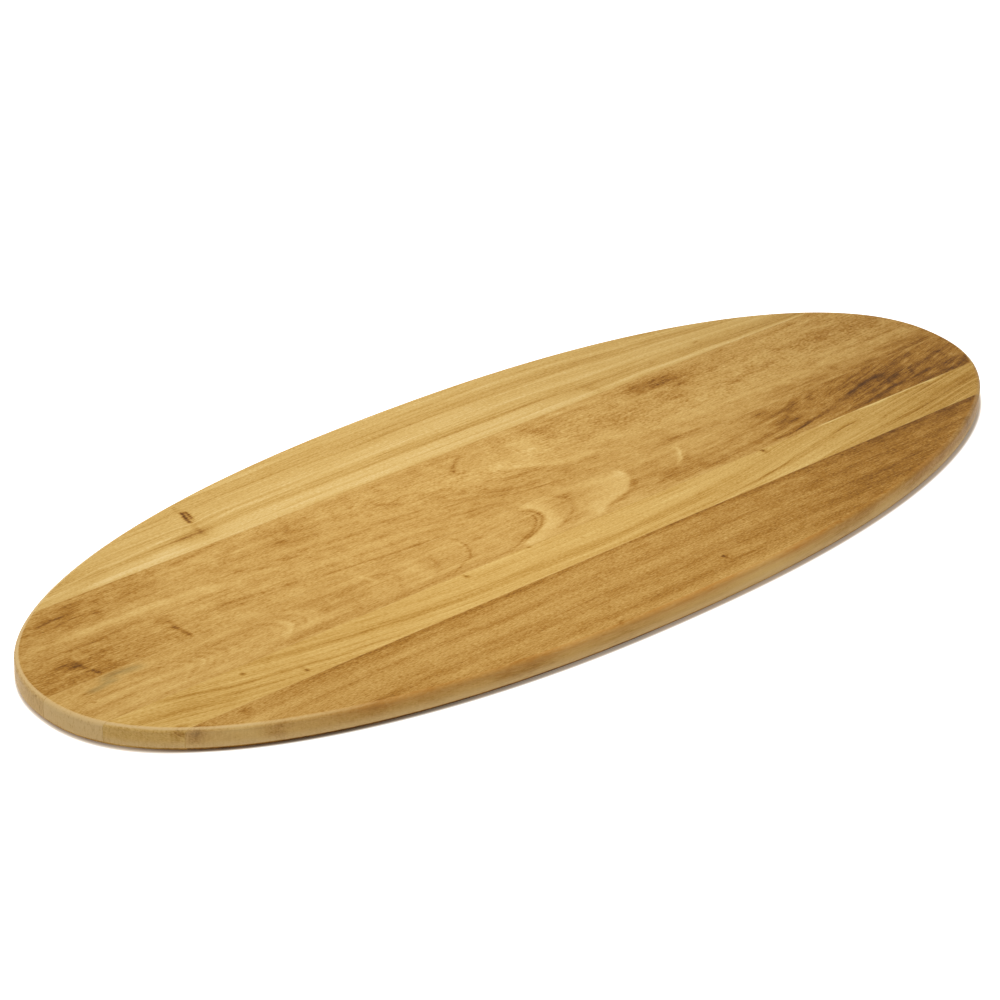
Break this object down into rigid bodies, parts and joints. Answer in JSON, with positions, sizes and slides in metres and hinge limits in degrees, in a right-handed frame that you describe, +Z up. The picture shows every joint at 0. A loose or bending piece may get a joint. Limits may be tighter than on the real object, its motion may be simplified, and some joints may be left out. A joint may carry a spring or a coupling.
{
  "type": "oval serving board",
  "caption": "Long oval wooden serving board of edge-glued staves with a softly rounded rim, for carrying and serving food on a table.",
  "frame": {"origin": "on the underside, below the middle of the board", "axes": "+X along the length, to the right tip; +Y across the staves, to the back edge; +Z up, out of the serving face"},
  "size_m": [0.6, 0.24, 0.012],
  "materials": {
    "golden_wood": "oiled, satin, straight golden grain",
    "brown_wood": "oiled, satin, mottled mid-brown grain",
    "figured_wood": "oiled, satin, arched figure with a dark end",
    "pale_wood": "oiled, satin, straight straw-coloured grain",
    "dark_wood": "oiled, satin, straight brown grain",
    "dried_glue": "thin amber film, satin"
  },
  "bodies": {
    "root": {"back_stave": "golden_wood", "glue_line_1": "dried_glue", "wide_stave": "brown_wood", "glue_line_2": "dried_glue", "figured_stave": "figured_wood", "glue_line_3": "dried_glue", "pale_stave": "pale_wood", "glue_line_4": "dried_glue", "front_stave": "dark_wood"}
  },
  "joints": []
}
